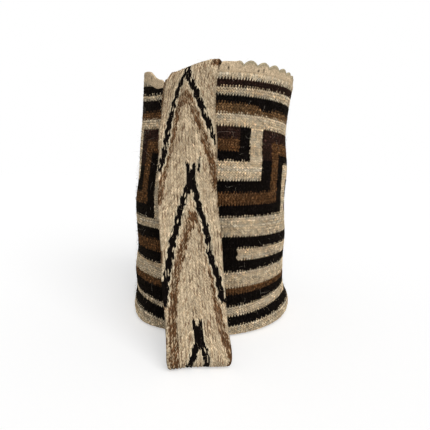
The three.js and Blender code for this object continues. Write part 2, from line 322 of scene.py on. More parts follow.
for i, start in enumerate(FRETS):
    before = (start - FRETS[i - 1]) % STITCHES
    after = (FRETS[(i + 1) % len(FRETS)] - start) % STITCHES
    stem = [start + stitch for stitch in STEM]
    low = [level + FIRST_FRET_LIFT * (i == 0) for level in LOW_BAR]
    high = HIGH_BAR
    change = STEM_YARN_CHANGE + FIRST_CHANGE_LIFT * (i == 0)
    bar_start, bar_end = stem[3] - before + BAR_GAP, stem[0] + after - BAR_GAP
    fill(low[0], low[1], bar_start, stem[3], BLACK)
    fill(low[1], low[2], bar_start, stem[3], BROWN)
    fill(low[2], low[3], bar_start, stem[1], BLACK)
    fill(low[0], low[3], bar_start, bar_start + BAR_CAP, BLACK)
    fill(high[0], high[1], stem[2], bar_end, BLACK)
    fill(high[1], high[2], stem[1], bar_end, BROWN)
    fill(high[2], high[3], stem[0], bar_end, ESPRESSO)
    fill(high[0], high[3], bar_end - BAR_CAP, bar_end, BLACK)
    fill(low[3], change, stem[0], stem[1], BLACK)
    fill(change, high[3], stem[0], stem[1], ESPRESSO)
    fill(low[2], high[2], stem[1], stem[2], BROWN)
    fill(low[1], high[1], stem[2], stem[3], BLACK)

for i, (cap, yarn) in enumerate(zip(RAIL_CAPS, FIELD_YARNS)):
    next_cap = cap + (RAIL_CAPS[(i + 1) % len(RAIL_CAPS)] - cap) % STITCHES
    fill(RAILS[0], RAILS[3], cap, cap + RAIL_CAP_WIDTH, BLACK)
    for low, high, field in zip(RAILS, RAILS[1:], (BLACK, yarn, BLACK)):
        fill(low, high, cap + RAIL_CAP_WIDTH, next_cap, field)

lifted = np.arange(*LIFTED_STITCHES) % STITCHES
chart[RAILS[0] + LIFTED_BY : RAILS[3] + LIFTED_BY, lifted] = chart[RAILS[0] : RAILS[3], lifted]
chart[RAILS[0] : RAILS[0] + LIFTED_BY, lifted] = CREAM
for stray in STRAYS:
    fill(*stray)
print("chart", chart.shape, {name: int((chart == i).sum()) for i, name in enumerate(YARNS)})

# %% [markdown]
# Each stitch of the wall shows as a small V: two legs that lean together, a notch between them and a
# valley beside them. Four grid columns make a stitch, and two grid rows, a groove and a crest, make a
# round. The grid lines zigzag with the Vs, so a change of yarn ends in teeth, as in real crochet. The
# wall swells and draws in over its height, most at its two sides, and its rounds rise and fall where the
# base curls up and where the strap pulls on the mouth.

# %% How the wall and its rounds stray
COLUMNS_PER_STITCH = 4
COLUMNS = COLUMNS_PER_STITCH * STITCHES
LEG_OUT = np.array([-0.34, 0.2, -0.02, 0.2])
LEG_UP = np.array([0.38, 0.05, -0.38, 0.05])
GROOVE_OUT = -0.62
CREST_OUT = 0.15
GROOVE_LEG_SHARE = 0.35
TOP_CALM = 0.6
CALM_ROUNDS = (ROUNDS - 3.5, ROUNDS - 1)
FLAT_ROUNDS = 2
WALL_DEPTHS = (0.7, 1.2)
INNER_DEPTHS = (0.5, 1)
INNER_GROOVE_OUT = 0.25
INNER_CREST_OUT = -0.3
STITCH_JITTER = 0.14
ROUND_JITTER = 0.32
WAVES = 7
FIRST_WAVE = 2
WAVE_SHIFT = 3
WAVE_LENGTH = (22, 14)
WAVE_STRENGTH = (0.5, 0.25)
WAVE_SIZE = 0.45
WAVES_FROM = (0, 30)
RIGHT_SIDE_POWER = 3
LEFT_SIDE_POWER = 8
RIGHT_SIDE_OUT = [
    (0, 0), (12, 3.2), (22, 3), (32, 0.5), (42, -0.5), (60, 1.5), (80, 3), (105, 3), (125, 1), (150, 1),
    (190, 1.5), (230, 0),
]
LEFT_SIDE_OUT = [
    (0, 0), (12, -0.5), (24, -2), (40, -2), (60, 0), (75, -2), (90, -3.5), (110, -1.5), (130, 0),
    (150, -0.5), (175, -2), (200, -1), (230, 0),
]
CORNER_AT = -42
CORNER_SPREAD = 17
CORNER_OUT = [(0, 0), (7, 4), (14, 3.5), (30, 0), (285, 0)]
BASE_DRIFT = [(0, 0), (12, 5), (22, 9), (35, 9), (50, 5), (65, 1.5), (80, 0)]
SIDE_DRIFT = [
    (80, 0), (95, -2.5), (115, -3), (137, 0), (177, -1), (200, -5), (246, -5), (262, -3), (272, 0),
]
LEFT_DRIFT_SHARE = 0.25
STRAP_DRIFT = [(-90, 0), (-66, -3), (-55, -4), (-46, 1), (-38, 7), (-28, 9), (-15, 0), (180, 0)]
STRAP_DRIFT_HEIGHTS = (180, 265, 281, 285)
stitch_out = chance.normal(0, STITCH_JITTER, (ROUNDS + 1, STITCHES))
stitch_up = chance.normal(0, ROUND_JITTER, (ROUNDS + 1, STITCHES))
wave_facts = chance.uniform(-1, 1, (WAVES, 4))


def to_degrees(angle):
    """An angle from the front in degrees, from -180 to 180."""
    return (np.degrees(angle) + 180) % 360 - 180


def unevenness(angle, s):
    """How far the wall strays in or out, in mm: long waves, the two sides, and the front left corner."""
    total = 0
    for i, (a, b, c, d) in enumerate(wave_facts):
        round_it = np.sin((i + FIRST_WAVE) * angle + WAVE_SHIFT * b)
        up_it = np.sin(s / (WAVE_LENGTH[0] + WAVE_LENGTH[1] * c) + WAVE_SHIFT * d)
        total = total + (WAVE_STRENGTH[0] + WAVE_STRENGTH[1] * a) * round_it * up_it
    aside = np.sin(angle - VIEW_TURN)
    right = np.maximum(aside, 0) ** RIGHT_SIDE_POWER * through(RIGHT_SIDE_OUT, s)
    left = np.maximum(-aside, 0) ** LEFT_SIDE_POWER * through(LEFT_SIDE_OUT, s)
    corner = bell(to_degrees(angle) - CORNER_AT, CORNER_SPREAD) * through(CORNER_OUT, s)
    return WAVE_SIZE * total * smooth(s, *WAVES_FROM) + right + left + corner


def drift(angle, s):
    """How far up the wall a round strays from level, in mm."""
    aside = np.sin(angle - VIEW_TURN)
    to_right = np.where(aside > 0, 1.0, LEFT_DRIFT_SHARE)
    beside_strap = through(STRAP_DRIFT, to_degrees(angle)) * within(s, STRAP_DRIFT_HEIGHTS)
    return aside**2 * (through(BASE_DRIFT, s) + to_right * through(SIDE_DRIFT, s)) + beside_strap


def round_bag(radius, angle):
    """The x and y of a point at a radius from the middle and an angle from the front."""
    return radius * np.sin(angle), -radius * np.cos(angle)


def wall_place(angle, s, out):
    """A point of the wall at an angle from its front, s mm up its profile, out mm from its outer face."""
    r, z, dr, dz = wall_line.read(s)
    return slump(*round_bag(r + dz * out, angle), np.maximum(z - dr * out, 0))


print("a stitch is", round(2 * math.pi * MOUTH_RADIUS / STITCHES, 2), "by", round(ROUND_HEIGHT, 2), "mm")

# %% [markdown]
# Now the two faces of the wall. The outer face has the relief of the stitches. The inner face, seen only
# through the mouth, is ribbed along the rounds, as the back of single crochet is.

# %% The two faces of the wall
# This height drives the wool's painted shade: low faces are painted darker, as grooves in shade.
def height_in(relief, depths):
    """A relief in mm as a height from 0 to 1; depths says how deep 0 lies, and how far above it 1 is."""
    return np.clip((relief + depths[0]) / depths[1], 0, 1)


def wall_surface(angle, s, out):
    """A point of the wall as it really runs, with its rounds drifting and its face uneven."""
    s = np.clip(s + drift(angle, s), 0, wall_line.length)
    return wall_place(angle, s, out + unevenness(angle, s))


def outer_face(column, row):
    """A point of the stitched outer face, and its height in the relief."""
    phase = column % COLUMNS_PER_STITCH
    stitch = (column // COLUMNS_PER_STITCH) % STITCHES
    crest = row % 2
    level = row / 2
    flat_ends = within(level, (0, FLAT_ROUNDS, ROUNDS - FLAT_ROUNDS, ROUNDS))
    leg = LEG_OUT[phase] * np.where(crest, 1, GROOVE_LEG_SHARE)
    groove = np.where(row == 2 * ROUNDS, 0, GROOVE_OUT)
    relief = leg + np.where(crest, CREST_OUT + stitch_out[row // 2, stitch], groove)
    relief = relief * (1 - TOP_CALM * smooth(level, *CALM_ROUNDS))
    s = ROUND_HEIGHT * (level + LEG_UP[phase] * flat_ends)
    s = s + stitch_up[row // 2, stitch] * crest * flat_ends
    return *wall_surface(2 * np.pi * column / COLUMNS, s, relief), height_in(relief, WALL_DEPTHS)


def inner_face(column, level, relief):
    """A point of the inner face, ribbed along the rounds, and its height in the relief."""
    angle, s = 2 * np.pi * column / COLUMNS, level * ROUND_HEIGHT
    return *wall_surface(angle, s, relief - WALL), height_in(-relief, INNER_DEPTHS)


print("relief of a stitch", round(CREST_OUT + LEG_OUT.max() - GROOVE_OUT, 2), "mm")

# %% [markdown]
# The wall is made in three closed rings, so that no one mesh gets too heavy. Each face takes the yarn of
# its stitch from the chart. Where the yarn changes, some stitches bite into the round below, and the
# upright edges of a field jog by a grid square or two, which gives the ragged edge of crochet. The wall is
# painted a little darker near the base and lighter higher up, as painted light.

# %% The wall
WALL_RINGS = {"wall_lower": (0, 40, 20), "wall_middle": (40, 80, 20), "wall_upper": (80, ROUNDS, 60)}
TOOTH_SHARE = 0.65
JOGS = 3
STITCH_SHADE = 0.11
ROUND_SHADE = 0.06
STITCH_WARMTH = 0.03
ROUND_WARMTH = 0.02
WARMER = np.array([1, 0, -1.3])
ROUND_PAINTED_LIGHT = [(0, 0.97), (30, 0.98), (50, 0.98), (65, 1.1), (95, 1.14), (105, 1.08), (110, 1.0)]


def per_stitch(of_stitch, of_round):
    """Random steps, one for each stitch and one for each round, added up."""
    return chance.normal(0, of_stitch, (ROUNDS, STITCHES, 1)) + chance.normal(0, of_round, (ROUNDS, 1, 1))


def wall_ring(name, first, last, inner_rows):
    """One closed ring of the wall, from round first to round last."""
    outer_rows = 2 * (last - first)
    rows = outer_rows + 1 + inner_rows + 1

    def inner_level(row):
        """The round beside which an inner row lies."""
        return last - (last - first) * np.clip((row - outer_rows - 1) / inner_rows, 0, 1)

    def place(column, row):
        row = row % rows
        outer = outer_face(column, np.minimum(row, outer_rows) + 2 * first)
        ribs = np.where((row - outer_rows) % 2, INNER_CREST_OUT, INNER_GROOVE_OUT)
        inner = inner_face(column, inner_level(row), ribs)
        return [np.where(row <= outer_rows, a, b) for a, b in zip(outer, inner)]

    def paint(column, row):
        stitch = (column // COLUMNS_PER_STITCH) % STITCHES
        round_now = np.where(row < outer_rows, first + row // 2, np.rint(inner_level(row))).astype(int)
        round_now = np.clip(round_now, first, last - 1)
        valley = np.isin(column % COLUMNS_PER_STITCH, (0, COLUMNS_PER_STITCH - 1))
        bites = (row % 2 == 0) & valley & tooth[round_now, stitch]
        beside = (column + jog[round_now] * (row % 2)) // COLUMNS_PER_STITCH % STITCHES
        yarn = np.where(bites, chart[np.maximum(round_now - 1, 0), beside], chart[round_now, beside])
        return spun(YARN_COLOURS, FLEECE_SPREAD, yarn) * shade[round_now, stitch]

    return stitched(name, COLUMNS, rows, place, paint)


tooth = chance.uniform(0, 1, chart.shape) < TOOTH_SHARE
jog = chance.integers(0, JOGS, ROUNDS)
# Painted light: the rounds are painted lighter higher up the wall and darker near the base.
painted_round_light = through(ROUND_PAINTED_LIGHT, np.arange(ROUNDS))[:, None, None]
shade = painted_round_light * np.exp(per_stitch(STITCH_SHADE, ROUND_SHADE))
shade = shade * np.exp(WARMER * per_stitch(STITCH_WARMTH, ROUND_WARMTH))
wall_rings = [wall_ring(name, *ring) for name, ring in WALL_RINGS.items()]

# %% [markdown]
# The base is worked first on a real bag, as a flat disc that grows in a spiral. Fewer stitches fit round
# near its middle than at its edge, so their number steps down in zones, and in each zone a stitch takes
# a whole number of the grid's columns.

# %% The base
BASE_ROUNDS = 34
BASE_INNER_ROWS = 16
BASE_RADIUS = PROFILE[0][0]
BASE_ZONES = [(72, 4), (48, 6), (32, 9), (19, 15), (10, 24), (0, 60)]
BASE_RELIEF = 0.9
BASE_RIB = 0.3
BASE_FLAT_FROM = (78, 89.9)
BASE_SHADE = 0.08
BASE_LEGS = 2
BASE_NOTCH = 0.45
BASE_INSIDE_HEIGHT = 0.7
wall_foot = [float(a) for a in wall_line.read(0.0)]
INNER_FOOT_RADIUS = wall_foot[0] - wall_foot[3] * WALL
INNER_FOOT_HEIGHT = wall_foot[2] * WALL
base_rows = 2 * BASE_ROUNDS


def base_stitch(column, row):
    """Which stitch of which round a grid place belongs to, and how far through the stitch it is."""
    radius = BASE_RADIUS * row / base_rows
    width = np.select([radius >= inner for inner, _ in BASE_ZONES], [w for _, w in BASE_ZONES])
    return column // width, (column % width) / width


def base_place(column, row):
    """A point of the base: the floor side from the middle out, then the inside back to the middle."""
    angle = 2 * np.pi * column / COLUMNS
    below = row <= base_rows
    _, share = base_stitch(column % COLUMNS, np.minimum(row, base_rows))
    crest = np.where(row % 2, 1.0, 0.0)
    notch = BASE_NOTCH * (0.5 + 0.5 * np.cos(2 * np.pi * BASE_LEGS * share))
    relief = crest * (1 - notch)
    inwards = np.clip((row - base_rows - 1) / BASE_INNER_ROWS, 0, 1)
    radius = np.where(below, BASE_RADIUS * row / base_rows, INNER_FOOT_RADIUS * (1 - inwards))
    edge = smooth(radius, *BASE_FLAT_FROM)
    floor_side = BASE_RELIEF * (1 - relief) * (1 - edge)
    up = np.where(below, floor_side, INNER_FOOT_HEIGHT + BASE_RIB * crest * (1 - edge))
    height = np.where(below, relief, BASE_INSIDE_HEIGHT)
    return *slump(*round_bag(radius, angle), up), height


def base_paint(column, row):
    """Cream, with a step in brightness for each stitch."""
    stitch, _ = base_stitch(column, np.minimum(row, base_rows))
    return YARN_COLOURS[CREAM] * base_shade[row // 2, stitch % STITCHES][:, None]


base_shade = shades(BASE_SHADE, (BASE_ROUNDS + BASE_INNER_ROWS, STITCHES))
base = stitched("base", COLUMNS, base_rows + 1 + BASE_INNER_ROWS, base_place, base_paint)

# %% [markdown]
# The strap is one long flat band of thick wool, woven by hand. It is sewn inside the mouth at the back,
# crosses it, hangs down outside the front to the floor, folds, and goes back up under itself to its
# front end. Seen from the side its path is one line, the CAD part's: arcs at the bends, and easy curves
# between them. It is then bent round the wall and swung a little sideways.

# %% The path of the strap
STRAP_WIDTH = 59.5
STRAP_THICKNESS = 3.6
STRAP_SEWN = 34.0
EDGING_THICKNESS = 2.8
EDGING_PRESSED_BAND = 1.4
TOUCH = 0.5
STRAP_CLEAR = 1.0
ARCH_CLEAR = 1.4
FLOOR_CLEAR = 0.2
FOOT_REACH = 154
FOOT_FOLD_RADIUS = 7.5
FOOT_SLANT = math.radians(24)
FOOT_TEARDROP = math.radians(5)
HANG_EASE = 90
FOOT_EASE = 90
UNDER_FOOT_EASE = 110
BACK_BEND_RADIUS = 16
CROSSING_EASE = 55
CROSSING_SAG = math.radians(12)
SWAY = [(3, -1), (21, 3.2), (48, 6), (81, 5.5), (130, 3.4), (177, -0.8), (207, -3.6), (256, -8), (290, -9)]
SWAY_FADES_AT = (-60, 40)
SWING = math.radians(29)
SWING_GROWTH = 1.15
CURL_FROM_AXIS = (40, 78)
CURL_HEIGHTS = (130, 225)
STRAP_END_HEIGHT = MOUTH_HEIGHT - STRAP_SEWN - STRAP_THICKNESS
STRAP_INSIDE = NECK_RADIUS - WALL - STRAP_CLEAR - STRAP_THICKNESS / 2
STRAP_OUTSIDE = MOUTH_RADIUS + STRAP_CLEAR + STRAP_THICKNESS / 2


def turn_round(middle, width, height, start, end, steps=80):
    """Points of an arc of an ellipse."""
    t = np.linspace(start, end, steps)[:, None]
    return np.array(middle) + np.hstack([width * np.cos(t), height * np.sin(t)])


def bend(a, b, c, d, steps=160):
    """Points of the curve from a to d that leaves towards b and arrives from c."""
    t = np.linspace(0, 1, steps)[:, None]
    a, b, c, d = (np.array(p, float) for p in (a, b, c, d))
    return a * (1 - t) ** 3 + 3 * b * t * (1 - t) ** 2 + 3 * c * t**2 * (1 - t) + d * t**3


def strap_path():
    """The middle of the strap in the y, z plane, from its sewn front end to its sewn back end."""
    middle, half = -(STRAP_INSIDE + STRAP_OUTSIDE) / 2, (STRAP_OUTSIDE - STRAP_INSIDE) / 2
    rise = WALL / 2 + TOUCH + EDGING_PRESSED_BAND + ARCH_CLEAR + STRAP_THICKNESS / 2
    step = STRAP_THICKNESS + 2 * TOUCH
    enter, leave = FOOT_TEARDROP - FOOT_SLANT, -math.pi - FOOT_SLANT - FOOT_TEARDROP
    under_arch = turn_round((middle, MOUTH_HEIGHT), half, rise, 0, math.pi)
    over_arch = turn_round((middle, MOUTH_HEIGHT), half + step, rise + step, math.pi, math.pi / 2)
    fold_middle = (-FOOT_REACH, FOOT_FOLD_RADIUS + STRAP_THICKNESS / 2 + FLOOR_CLEAR)
    fold = turn_round(fold_middle, FOOT_FOLD_RADIUS, FOOT_FOLD_RADIUS, enter, leave)
    heading_in = np.array([math.sin(enter), -math.cos(enter)])
    heading_out = np.array([math.sin(leave), -math.cos(leave)])
    top, over_top = under_arch[-1], over_arch[0]
    under = bend(top, top - [0, HANG_EASE], fold[0] - heading_in * UNDER_FOOT_EASE, fold[0])
    over = bend(fold[-1], fold[-1] + heading_out * FOOT_EASE, over_top - [0, HANG_EASE], over_top)
    back_middle = (STRAP_INSIDE - BACK_BEND_RADIUS, MOUTH_HEIGHT - BACK_BEND_RADIUS)
    back = turn_round(back_middle, BACK_BEND_RADIUS, BACK_BEND_RADIUS, math.pi / 2 + CROSSING_SAG, 0)
    apex = over_arch[-1]
    towards_back = CROSSING_EASE * np.array([math.cos(CROSSING_SAG), math.sin(CROSSING_SAG)])
    crossing = bend(apex, apex + [CROSSING_EASE, 0], back[0] - towards_back, back[0])
    ends = [[-STRAP_INSIDE, STRAP_END_HEIGHT]], [[STRAP_INSIDE, STRAP_END_HEIGHT]]
    runs = [under_arch, under[1:], fold[1:], over[1:], over_arch[1:], crossing[1:], back[1:]]
    return np.vstack([ends[0], *runs, ends[1]])


strap_line = Line(strap_path())
print("strap measures", round(strap_line.length, 1), "mm from end to end")


def strap_place(s, across, out):
    """A point of the strap, s mm along it, across mm from its middle line, out mm from its middle plane."""
    path_y, path_z, along_y, along_z = strap_line.read(s)
    sway = through(SWAY, path_z) * (1 - smooth(path_y, *SWAY_FADES_AT))
    x, y, z = across + sway, path_y + out * along_z, path_z - out * along_y
    far = np.abs(y)
    near = smooth(far, *CURL_FROM_AXIS) * smooth(z, *CURL_HEIGHTS)
    y = y + np.sign(y) * (np.sqrt(np.maximum(far**2 - x**2, 0)) - far) * near
    turn = SWING * np.maximum(1 - z / MOUTH_HEIGHT, 0) ** SWING_GROWTH
    turn = np.where(path_y < -MOUTH_RADIUS, turn, 0)
    aside, ahead = x - sway, y + MOUTH_RADIUS
    x = sway + aside * np.cos(turn) - ahead * np.sin(turn)
    y = -MOUTH_RADIUS + ahead * np.cos(turn) + aside * np.sin(turn)
    return slump(x, y, z)


# %% [markdown]
# The strap's pattern is a row of tall arrows, each a dark block whose dark lines run down to the two
# edges, with a brown line inside each dark one and a pale line beside it. Every line is given as points:
# how far along the strap, and how far across it. The lines waver, because each steps from rib to rib.
# Tan flecks break up the cream ground, because its cords were plied from two fleeces, and cream breaks
# up the brown. A few darker flecks lie anywhere, and many more lie in the valleys between the ribs as
# painted shade.

# %% The pattern of the strap
ARROW_PITCH = 152
APEX_LINES = [
    (BLACK, 3.1, [(540, -29), (552, -25.5), (565, -22.5), (581, -19.8), (598, -17.5), (615, -14.1),
                  (633, -8.9), (643, -3), (652, -1)]),
    (BLACK, 3.2, [(566, 32), (573, 30.5), (582, 26.8), (590, 22.9), (599, 20), (611, 15.3), (620, 12),
                  (626, 9.2), (633, 4.5), (643, 0.5), (652, -1)]),
    (BROWN, 3.3, [(505, -29), (519, -27), (530, -25), (560, -18.5), (590, -11.5), (611, -8.5),
                  (624, -2.5)]),
    (BROWN, 3.6, [(518, 30), (530, 28), (545, 26), (570, 20), (595, 13), (613, 6), (626, 0)]),
    (BROWN, 5.0, [(610, -3), (623, -2)]),
    (BROWN, 4.5, [(643, 28), (690, 27)]),
    (BLACK, 1.2, [(538, 12), (554, 13.5)]),
]
ARROW_LINES = [
    (BLACK, 4.7, [(520, 5), (541, 4.6)]),
    (BLACK, 1.8, [(538, 2), (548, 1)]),
    (BLACK, 1.8, [(538, 7.2), (548, 8)]),
    (BLACK, 3.4, [(408, -30), (414, -29), (442, -24), (470, -18), (495, -9.5), (526, 2.5)]),
    (BLACK, 3.0, [(409, 28), (412, 27), (436, 24), (456, 18), (485, 15), (526, 8)]),
    (BROWN, 4.1, [(340, -25), (360, -24.5), (372, -23.2), (393, -24.5), (405, -22), (437, -16), (466, -8),
                  (485, 0), (500, 5)]),
    (BROWN, 3.5, [(340, 31.5), (360, 30.5), (367, 28), (379, 24.5), (403, 21.5), (431, 20.5), (461, 15),
                  (476, 12), (500, 7)]),
]
LOWER_ARROW_ASIDE = -4.5
LOWER_ARROWS = (0, -1, -2, -3, 2)
PALE_LINE = 1.7
STEP_LENGTH = 10.5
STEP_WOBBLE = 0.8
SHORT_MARK = 30
FAR = 99
GROUND, FLECK, DARK_FLECK_AND_SHADE, PALE, STRAP_BROWN, STRAP_BLACK = range(6)
STRAP_COLOURS = ["#CFBA9B", "#AB9476", "#866C54", "#D4C2A4", "#62462F", "#0F0B0B"]
STRAP_SPREAD = np.array([0.13, 0.14, 0.16, 0.1, 0.36, 0.35])
FLECK_SHARE = 0.14
BACK_PLY_FLECK_SHARE = 0.5
DARK_FLECK_SHARE = 0.03
VALLEY_SHADE_SHARE = 0.14
BROKEN_BROWN_SHARE = 0.15
BACK_PLY_CREAM_SHARE = 0.5
PALE_SPECK_SHARE = 0.05
strap_colours = np.array([linear(code) for code in STRAP_COLOURS])


def strap_yarn(along, across, luck, valley, back_ply):
    """Which yarn shows at a place of the strap; luck is one random number from 0 to 1 for each stroke."""
    yarn = np.where(luck < np.where(back_ply, BACK_PLY_FLECK_SHARE, FLECK_SHARE), FLECK, GROUND)
    # Dark flecks: a few anywhere, and more in the valleys between the ribs as painted shade.
    yarn = np.where(luck < np.where(valley, VALLEY_SHADE_SHARE, DARK_FLECK_SHARE), DARK_FLECK_AND_SHADE, yarn)
    arrows = [(0, 0, APEX_LINES)]
    arrows += [(k * ARROW_PITCH, LOWER_ARROW_ASIDE if k else 0, ARROW_LINES) for k in LOWER_ARROWS]
    near_black, near_brown = [], []
    for shift, aside, lines in arrows:
        for colour, half_width, points in lines:
            s, line = np.array(points).T
            on_line = (along > s[0] + shift) & (along < s[-1] + shift)
            wobble = STEP_WOBBLE if s[-1] - s[0] > SHORT_MARK else 0
            middle = aside + np.interp(along - shift, s, line)
            middle = middle + wobble * np.sin(2 * np.pi * along / STEP_LENGTH + s[0])
            away = np.abs(across - middle) - half_width
            (near_black if colour == BLACK else near_brown).append(np.where(on_line, away, FAR))
    to_black, to_brown = np.min(near_black, axis=0), np.min(near_brown, axis=0)
    brown_luck = np.where(back_ply, BACK_PLY_CREAM_SHARE, BROKEN_BROWN_SHARE)
    yarn = np.where((to_brown < 0) & (luck > brown_luck), STRAP_BROWN, yarn)
    yarn = np.where(to_black < PALE_LINE, PALE, yarn)
    return np.where((to_black < 0) & (luck < 1 - PALE_SPECK_SHARE), STRAP_BLACK, yarn)


print("strap pattern:", len(APEX_LINES), "lines at the mouth and", len(ARROW_LINES), "for each other arrow")

# %% [markdown]
# Every rib is a thick two-ply cord, so it shows slanting strokes. The cords of the two halves were
# twisted opposite ways, so the strokes lean together like the sides of a roof, and those of neighbouring
# cords are staggered. Near the foot the ribs stand out fully, and higher up, where the strap is worn,
# they soften. The fold at the foot pinches the strap, its right corner swings towards the viewer, and
# where the strap goes over the edge of the mouth its left side is drawn in.

# %% The stitches of the strap
RIBS = 18
STROKES = 280
STROKE_PITCH = strap_line.length / STROKES
COLUMNS_PER_RIB = 4
FACE_COLUMNS = RIBS * COLUMNS_PER_RIB
EDGE_COLUMNS = 3
SECTION_COLUMNS = 2 * (FACE_COLUMNS + EDGE_COLUMNS)
RIB_OUT = np.array([-0.5, 0.08, 0.26, 0.08])
RIBS_SOFTEN = (375, 470)
SOFT_RIB_SHARE = 0.8
RIB_SHEAR = np.array([0, -1.5, 0, 1.5])
STROKE_OUT = 0.5
STROKE_JITTER = 0.1
STROKE_SHADE = 0.11
RIB_JITTER = 0.15
RIB_SHADE = 0.05
SHEAR_FADE = 20
EDGE_RIPPLE = 0.8
RIPPLE_LENGTHS = (9.3, 17.1)
EDGE_ROUND = 0.8
EDGE_THINNER = 0.25
THIN_EDGE_POWER = 8
EDGE_CURL_LENGTH = 13
EDGE_CURL_SHIFT = 2
EDGE_CURL_POWER = 5
PINCH_REACH = 9
FOOT_PINCH = 1.0
FOOT_AT = 349
TOP_TUCK = 4.5
TOP_AT = 652
SHOULDER_TUCK = 3.2
SHOULDER = (570, 615, 655, 672)
FOOT_ASIDE = 3.2
FOOT_ASIDE_BELOW = (15, 110)
FOOT_SQUARED = (1.7, -6.8)
FOOT_SQUARED_ACROSS = (-0.5, 1)
FOOT_SQUARED_BELOW = (5, 75)
STRAP_LOWEST = 0.05
STRAP_DEPTHS = (0.7, 1.1)
RIB_STAGGER = 0.5
stroke_jitter = chance.normal(0, STROKE_JITTER, (RIBS + 1, STROKES + 1))
rib_stagger = RIB_STAGGER * (np.arange(RIBS + 1) % 2) + chance.uniform(-RIB_JITTER, RIB_JITTER, RIBS + 1)
stroke_luck = chance.uniform(0, 1, (RIBS, STROKES))
valley_luck = chance.uniform(0, 1, (RIBS, STROKES // 2)).repeat(2, axis=1)
stroke_shade = shades(STROKE_SHADE, (RIBS, STROKES)) * shades(RIB_SHADE, (RIBS, 1))


def section_of(column):
    """Where a column of the strap's section lies: across and out from -1 to 1, how far its edge bulges, and
    which column of the face it is."""
    column = column % SECTION_COLUMNS
    back = column >= FACE_COLUMNS + EDGE_COLUMNS
    local = column - np.where(back, FACE_COLUMNS + EDGE_COLUMNS, 0)
    on_edge = np.clip(local - FACE_COLUMNS, 0, EDGE_COLUMNS) / EDGE_COLUMNS
    on_face = np.clip(local, 0, FACE_COLUMNS)
    across = 1 - 2 * on_face / FACE_COLUMNS
    face_column = np.where(back, FACE_COLUMNS - on_face, on_face)
    side = np.where(back, -1.0, 1.0)
    return across * side, -np.cos(np.pi * on_edge) * side, np.sin(np.pi * on_edge) * -side, face_column


def along_strap(face_column, row):
    """How far along the strap a grid place lies, with its stroke's slant and its rib's stagger."""
    rib = np.minimum(face_column // COLUMNS_PER_RIB, RIBS)
    s = row / 2 * STROKE_PITCH
    to_end = strap_line.length - s
    fade = smooth(s, 0, SHEAR_FADE) * smooth(to_end, 0, SHEAR_FADE)
    inwards = np.where(face_column < FACE_COLUMNS / 2, 1, -1)
    slant = RIB_SHEAR[face_column % COLUMNS_PER_RIB] * inwards
    return s + fade * (slant + rib_stagger[rib] * STROKE_PITCH)


def strap_grid(column, row):
    """A point of the strap's surface, and its height in the relief."""
    across, out, bulge, face_column = section_of(column)
    rib = np.minimum(face_column // COLUMNS_PER_RIB, RIBS)
    s = along_strap(face_column, row)
    tuck = TOP_TUCK * bell(s - TOP_AT, PINCH_REACH) + SHOULDER_TUCK * within(s, SHOULDER)
    width = STRAP_WIDTH / 2 - FOOT_PINCH * bell(s - FOOT_AT, PINCH_REACH) - tuck * (across < 0)
    ripple = np.sin(s / RIPPLE_LENGTHS[0]) + np.sin(s / RIPPLE_LENGTHS[1] + across)
    width = width + EDGE_RIPPLE * (ripple - 1) / 2
    ribbed = 1 - (1 - SOFT_RIB_SHARE) * smooth(s, *RIBS_SOFTEN)
    relief = RIB_OUT[face_column % COLUMNS_PER_RIB] * ribbed
    relief = relief + np.where(row % 2, stroke_jitter[rib, row // 2], -STROKE_OUT)
    thickness = STRAP_THICKNESS / 2 + relief - EDGE_THINNER * np.abs(across) ** THIN_EDGE_POWER
    wave = np.sin(s / EDGE_CURL_LENGTH + EDGE_CURL_SHIFT * np.sign(across))
    curl = EDGE_RIPPLE * np.abs(across) ** EDGE_CURL_POWER * wave
    x, y, z = strap_place(s, across * width + bulge * EDGE_ROUND, out * thickness + curl)
    in_front = y < -MOUTH_RADIUS
    x = x - FOOT_ASIDE * (1 - smooth(z, *FOOT_ASIDE_BELOW)) * in_front
    squared = smooth(across, *FOOT_SQUARED_ACROSS) * (1 - smooth(z, *FOOT_SQUARED_BELOW)) * in_front
    x, y = x + FOOT_SQUARED[0] * squared, y + FOOT_SQUARED[1] * squared
    return x, y, np.maximum(z, STRAP_LOWEST), height_in(relief, STRAP_DEPTHS)


def strap_paint(column, row):
    """The yarn of each face, from the pattern, and its step in brightness."""
    across, _, _, first = section_of(column)
    across_next, _, _, second = section_of(column + 1)
    face_column = np.minimum(first, second)
    rib = np.clip(face_column // COLUMNS_PER_RIB, 0, RIBS - 1)
    stroke = np.minimum(row // 2, STROKES - 1)
    middle = (across + across_next) / 2 * STRAP_WIDTH / 2
    valley = np.isin(face_column % COLUMNS_PER_RIB, (0, COLUMNS_PER_RIB - 1))
    luck = np.where(valley, valley_luck[rib, stroke], stroke_luck[rib, stroke])
    yarn = strap_yarn(along_strap(face_column, row + 0.5), middle, luck, valley, row % 2 == 0)
    return spun(strap_colours, STRAP_SPREAD, yarn) * stroke_shade[rib, stroke][:, None]


strap = stitched("strap_woven", SECTION_COLUMNS, 2 * STROKES, strap_grid, strap_paint)

# %% [markdown]
# Round the mouth runs a shell edging: fans of stitches side by side, each closed by an arch of chain
# stitches, with small eyelets under some. Beside the strap it is drawn smooth and pulled up into a soft
# peak, and under the strap it is pressed flat.

